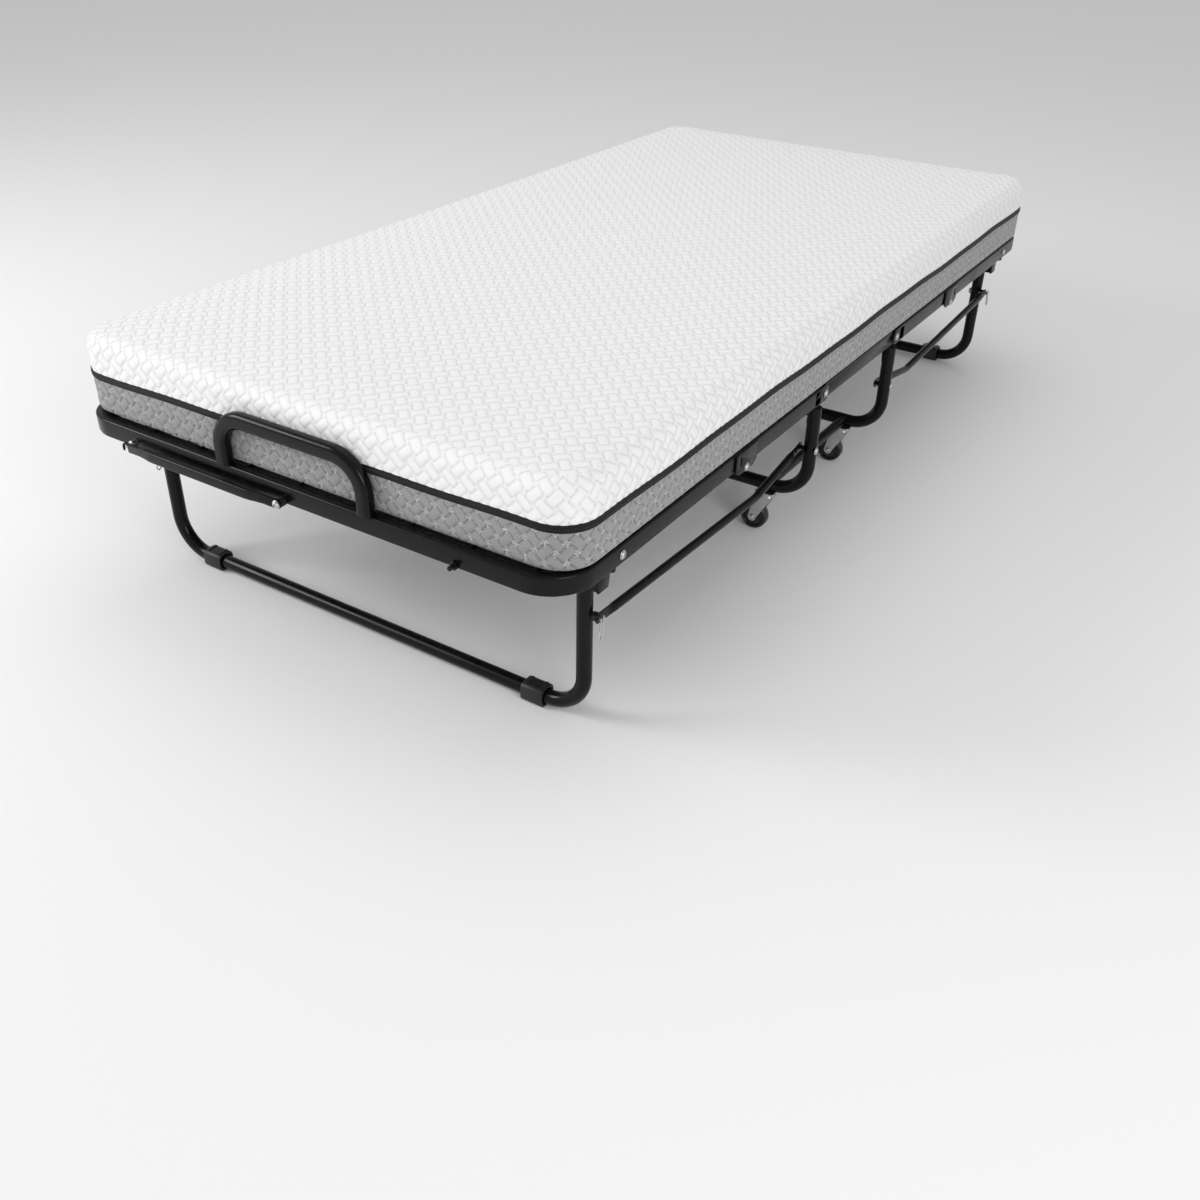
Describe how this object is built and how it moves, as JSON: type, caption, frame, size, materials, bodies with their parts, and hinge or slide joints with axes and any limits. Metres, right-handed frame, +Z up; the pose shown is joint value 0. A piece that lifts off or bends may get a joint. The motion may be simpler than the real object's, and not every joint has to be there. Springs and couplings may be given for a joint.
{
  "type": "folding bed",
  "caption": "Folding guest bed with a two-tone foam mattress on a black steel tube frame that folds up at its middle, with end legs, link bars and casters.",
  "frame": {"origin": "on the floor, under the middle of the bed's bounding box", "axes": "+X along the bed's length towards the far end, +Y across it towards the left side, +Z up"},
  "size_m": [1.966, 0.9666, 0.438],
  "materials": {
    "black_steel": "gloss black powder coat on steel tube",
    "zinc_hardware": "bright zinc plate",
    "black_plastic": "fine moulded texture",
    "caster_tread": "smooth moulded tread",
    "white_knit": "quilted knit with a raised basket-weave",
    "grey_knit": "quilted knit with a raised basket-weave and pale flecks",
    "zip_tape": "woven zip tape"
  },
  "bodies": {
    "centre_frame": {"caster_tube_left": "black_steel", "caster_tube_right": "black_steel", "centre_rail_left": "black_steel", "centre_rail_right": "black_steel", "far_hinge_bolt_left": "zinc_hardware", "far_hinge_bolt_right": "zinc_hardware", "far_mid_leg": "black_steel", "mattress_centre": "white_knit", "near_hinge_bolt_left": "zinc_hardware", "near_hinge_bolt_right": "zinc_hardware", "near_mid_leg": "black_steel"},
    "near_half": {"near_catch_stud": "black_steel", "near_cross_tube": "black_steel", "near_deck": "black_steel", "near_end_frame": "black_steel", "near_handle": "black_steel", "near_latch_bolt": "zinc_hardware", "near_leg_bolt_left": "zinc_hardware", "near_leg_bolt_right": "zinc_hardware", "near_mattress": "white_knit", "near_park_stud": "black_steel", "near_rail_stub_left": "black_steel", "near_rail_stub_right": "black_steel"},
    "near_leg": {"near_end_leg": "black_steel", "near_foot_clip_left": "black_plastic", "near_foot_clip_right": "black_plastic", "near_link_pin_left": "zinc_hardware", "near_link_pin_right": "zinc_hardware"},
    "near_links": {"near_link_bar_left": "black_steel", "near_link_bar_right": "black_steel"},
    "near_latch": {"near_latch_bar": "black_steel"},
    "far_half": {"far_catch_stud": "black_steel", "far_cross_tube": "black_steel", "far_deck": "black_steel", "far_end_frame": "black_steel", "far_handle": "black_steel", "far_latch_bolt": "zinc_hardware", "far_leg_bolt_left": "zinc_hardware", "far_leg_bolt_right": "zinc_hardware", "far_mattress": "white_knit", "far_park_stud": "black_steel", "far_rail_stub_left": "black_steel", "far_rail_stub_right": "black_steel"},
    "far_leg": {"far_end_leg": "black_steel", "far_foot_clip_left": "black_plastic", "far_foot_clip_right": "black_plastic", "far_link_pin_left": "zinc_hardware", "far_link_pin_right": "zinc_hardware"},
    "far_links": {"far_link_bar_left": "black_steel", "far_link_bar_right": "black_steel"},
    "far_latch": {"far_latch_bar": "black_steel"},
    "near_left_swivel": {"near_caster_fork_left": "zinc_hardware"},
    "near_left_wheel": {"near_caster_wheel_left": "caster_tread"},
    "near_right_swivel": {"near_caster_fork_right": "zinc_hardware"},
    "near_right_wheel": {"near_caster_wheel_right": "caster_tread"},
    "far_left_swivel": {"far_caster_fork_left": "zinc_hardware"},
    "far_left_wheel": {"far_caster_wheel_left": "caster_tread"},
    "far_right_swivel": {"far_caster_fork_right": "zinc_hardware"},
    "far_right_wheel": {"far_caster_wheel_right": "caster_tread"}
  },
  "joints": [
    {"name": "near_fold", "type": "hinge", "parent": "centre_frame", "child": "near_half", "pos_m": [-0.165, 0, 0.294], "axis": [0, 1, 0], "range_deg": [0, 90], "deforming": ["mattress_centre"]},
    {"name": "near_leg_swing", "type": "hinge", "parent": "near_half", "child": "near_leg", "pos_m": [-0.826, 0, 0.294], "axis": [0, -1, 0], "range_deg": [0, 90]},
    {"name": "near_link_swing", "type": "hinge", "parent": "centre_frame", "child": "near_links", "pos_m": [-0.177, 0, 0.188], "axis": [0, 1, 0], "range_deg": [0, 90]},
    {"name": "near_latch_turn", "type": "hinge", "parent": "near_half", "child": "near_latch", "pos_m": [-0.975, 0.018, 0.284], "axis": [1, 0, 0], "range_deg": [0, 90]},
    {"name": "far_fold", "type": "hinge", "parent": "centre_frame", "child": "far_half", "pos_m": [0.165, 0, 0.294], "axis": [0, -1, 0], "range_deg": [0, 90]},
    {"name": "far_leg_swing", "type": "hinge", "parent": "far_half", "child": "far_leg", "pos_m": [0.826, 0, 0.294], "axis": [0, 1, 0], "range_deg": [0, 90]},
    {"name": "far_link_swing", "type": "hinge", "parent": "centre_frame", "child": "far_links", "pos_m": [0.177, 0, 0.188], "axis": [0, -1, 0], "range_deg": [0, 90]},
    {"name": "far_latch_turn", "type": "hinge", "parent": "far_half", "child": "far_latch", "pos_m": [0.975, -0.018, 0.284], "axis": [-1, 0, 0], "range_deg": [0, 90]},
    {"name": "near_left_swivel_turn", "type": "hinge", "parent": "centre_frame", "child": "near_left_swivel", "pos_m": [-0.173, 0.393, 0.07], "axis": [0, 0, 1], "continuous": true},
    {"name": "near_left_wheel_roll", "type": "hinge", "parent": "near_left_swivel", "child": "near_left_wheel", "pos_m": [-0.173, 0.414, 0.026], "axis": [1, 0, 0], "continuous": true},
    {"name": "near_right_swivel_turn", "type": "hinge", "parent": "centre_frame", "child": "near_right_swivel", "pos_m": [-0.173, -0.393, 0.07], "axis": [0, 0, 1], "continuous": true},
    {"name": "near_right_wheel_roll", "type": "hinge", "parent": "near_right_swivel", "child": "near_right_wheel", "pos_m": [-0.173, -0.372, 0.026], "axis": [1, 0, 0], "continuous": true},
    {"name": "far_left_swivel_turn", "type": "hinge", "parent": "centre_frame", "child": "far_left_swivel", "pos_m": [0.173, 0.393, 0.07], "axis": [0, 0, 1], "continuous": true},
    {"name": "far_left_wheel_roll", "type": "hinge", "parent": "far_left_swivel", "child": "far_left_wheel", "pos_m": [0.173, 0.414, 0.026], "axis": [1, 0, 0], "continuous": true},
    {"name": "far_right_swivel_turn", "type": "hinge", "parent": "centre_frame", "child": "far_right_swivel", "pos_m": [0.173, -0.393, 0.07], "axis": [0, 0, 1], "continuous": true},
    {"name": "far_right_wheel_roll", "type": "hinge", "parent": "far_right_swivel", "child": "far_right_wheel", "pos_m": [0.173, -0.372, 0.026], "axis": [1, 0, 0], "continuous": true}
  ],
  "couplings": [
    {"joint": "near_leg_swing", "follows": "near_fold", "ratio": 1},
    {"joint": "near_link_swing", "follows": "near_fold", "ratio": 1},
    {"joint": "far_leg_swing", "follows": "far_fold", "ratio": 1},
    {"joint": "far_link_swing", "follows": "far_fold", "ratio": 1}
  ]
}
